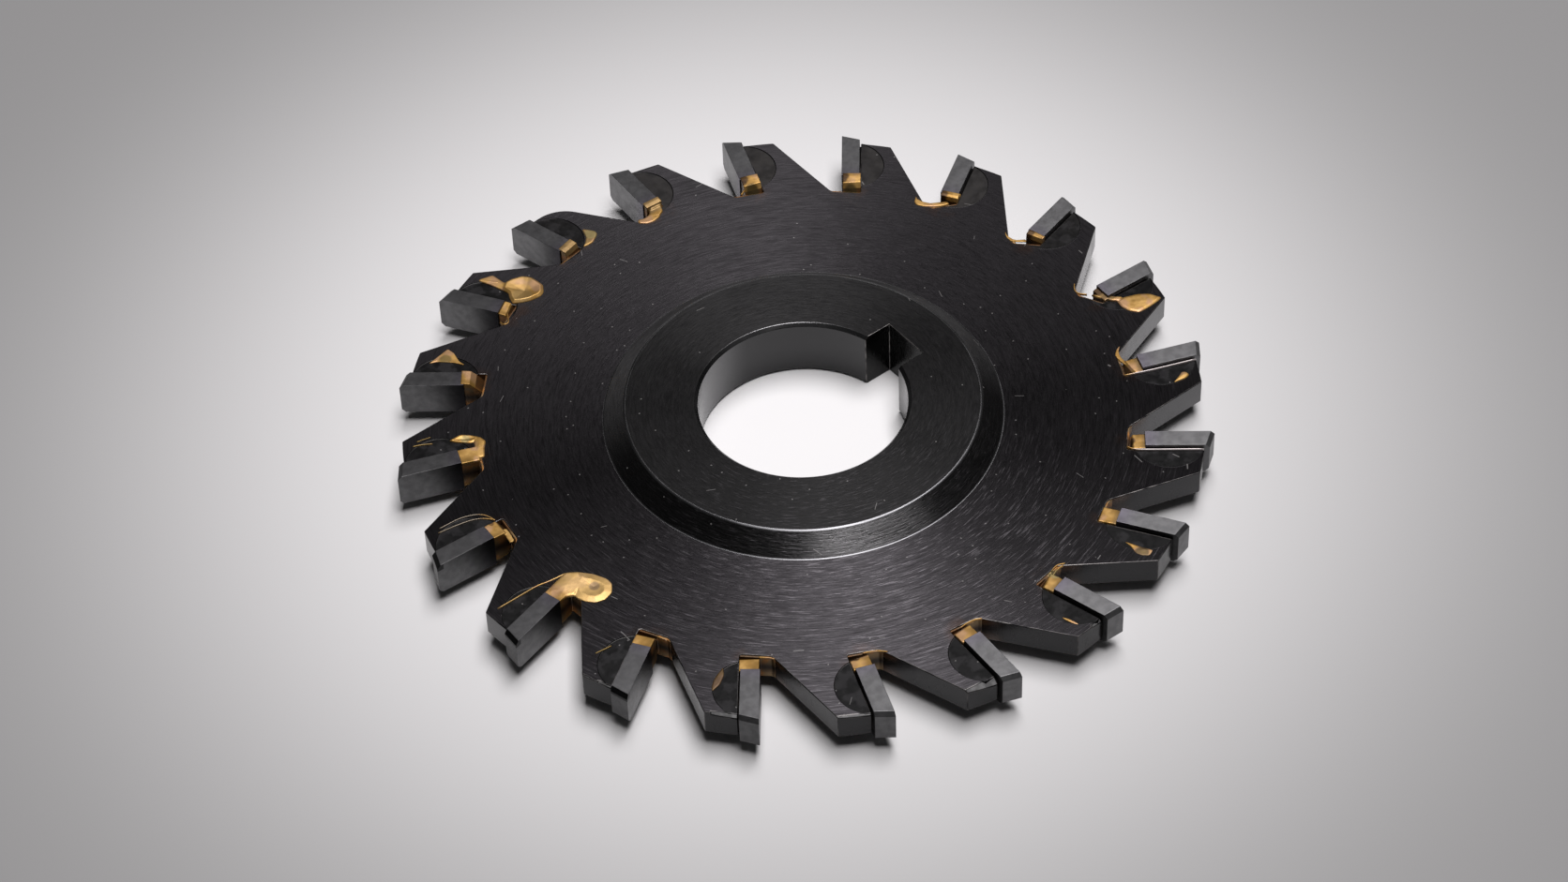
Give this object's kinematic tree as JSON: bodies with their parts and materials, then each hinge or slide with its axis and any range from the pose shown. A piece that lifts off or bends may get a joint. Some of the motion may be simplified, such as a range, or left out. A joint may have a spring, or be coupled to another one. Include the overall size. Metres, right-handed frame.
{
  "type": "milling cutter",
  "caption": "Disc milling cutter with a raised hub, a keyed bore and brazed carbide tips round its rim.",
  "frame": {"origin": "on the axis of the bore, at the lower hub face", "axes": "+Z along the bore axis, +X through the middle of the keyway; the cutter turns counterclockwise seen from +Z"},
  "size_m": [0.1238, 0.1238, 0.01],
  "materials": {
    "blackened_steel": "turned and blackened steel, satin",
    "carbide": "ground sintered carbide, dull",
    "braze": "braze filler as it ran, satin, with heat tints"
  },
  "bodies": {
    "root": {"cutter_body": "blackened_steel", "tip_01": "carbide", "tip_02": "carbide", "tip_03": "carbide", "tip_04": "carbide", "tip_05": "carbide", "tip_06": "carbide", "tip_07": "carbide", "tip_08": "carbide", "tip_09": "carbide", "tip_10": "carbide", "tip_11": "carbide", "tip_12": "carbide", "tip_13": "carbide", "tip_14": "carbide", "tip_15": "carbide", "tip_16": "carbide", "tip_17": "carbide", "tip_18": "carbide", "tip_19": "carbide", "tip_20": "carbide", "braze_01": "braze", "braze_02": "braze", "braze_03": "braze", "braze_04": "braze", "braze_05": "braze", "braze_06": "braze", "braze_07": "braze", "braze_08": "braze", "braze_09": "braze", "braze_10": "braze", "braze_11": "braze", "braze_12": "braze", "braze_13": "braze", "braze_14": "braze", "braze_15": "braze", "braze_16": "braze", "braze_17": "braze", "braze_18": "braze", "braze_19": "braze", "braze_20": "braze"}
  },
  "joints": []
}
